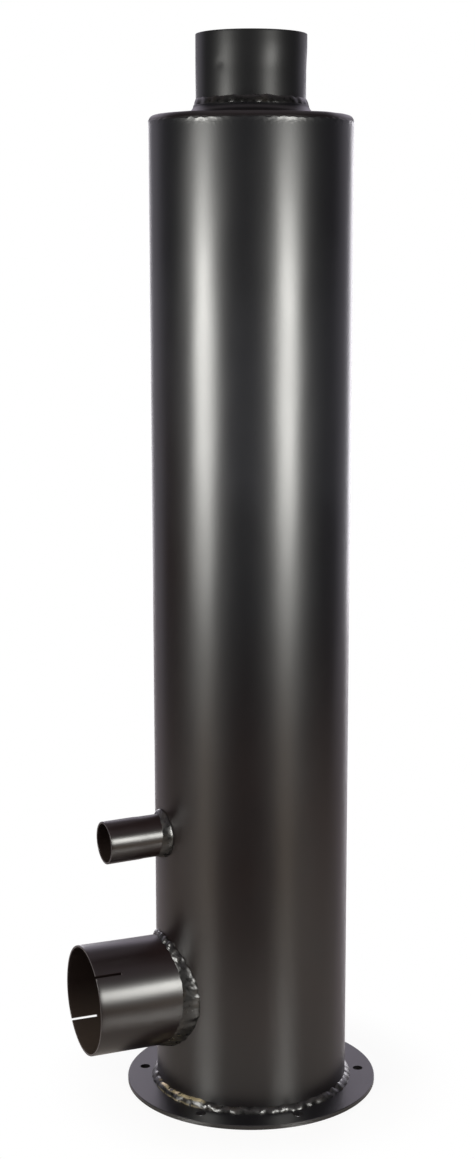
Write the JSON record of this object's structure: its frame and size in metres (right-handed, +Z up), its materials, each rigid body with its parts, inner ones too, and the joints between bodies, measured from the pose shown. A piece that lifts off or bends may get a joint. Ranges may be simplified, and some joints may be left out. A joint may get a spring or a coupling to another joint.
{
  "type": "tractor exhaust silencer pipe",
  "caption": "Upright welded tractor exhaust silencer with an outlet stub on top, a slotted side inlet, a small suction pipe above it and a round bolted base flange.",
  "frame": {"origin": "centre of the base flange's underside, on the silencer's axis", "axes": "+Z up along the silencer's axis towards the outlet; X through the two side bolt holes; -Y is the front, towards the close front pair of bolt holes; the side pipes point to -X, 24 degrees towards -Y"},
  "size_m": [0.3048, 0.247, 1.0084],
  "materials": {
    "shell_paint": "satin black heat-resistant paint on rolled sheet",
    "pipe_paint": "satin black paint on drawn tube",
    "flange_paint": "satin black paint on cut plate",
    "weld_paint": "black paint over lumpy weld beads, thin and brownish in places",
    "bare_steel": "bare sheet steel inside the silencer",
    "wool": "packed mineral wool"
  },
  "bodies": {
    "root": {"shell": "shell_paint", "shell_seam": "weld_paint", "top_cap": "shell_paint", "outlet_pipe": "pipe_paint", "inlet_pipe": "pipe_paint", "suction_pipe": "pipe_paint", "base_flange": "flange_paint", "base_weld": "weld_paint", "cap_weld": "weld_paint", "outlet_weld": "weld_paint", "inlet_weld": "weld_paint", "suction_weld": "weld_paint", "nozzle_plate": "bare_steel", "nozzle": "bare_steel", "suction_plate": "bare_steel", "middle_baffle": "bare_steel", "upper_baffle": "bare_steel", "core_tube": "bare_steel", "core_weld": "bare_steel", "packing": "wool"}
  },
  "joints": []
}
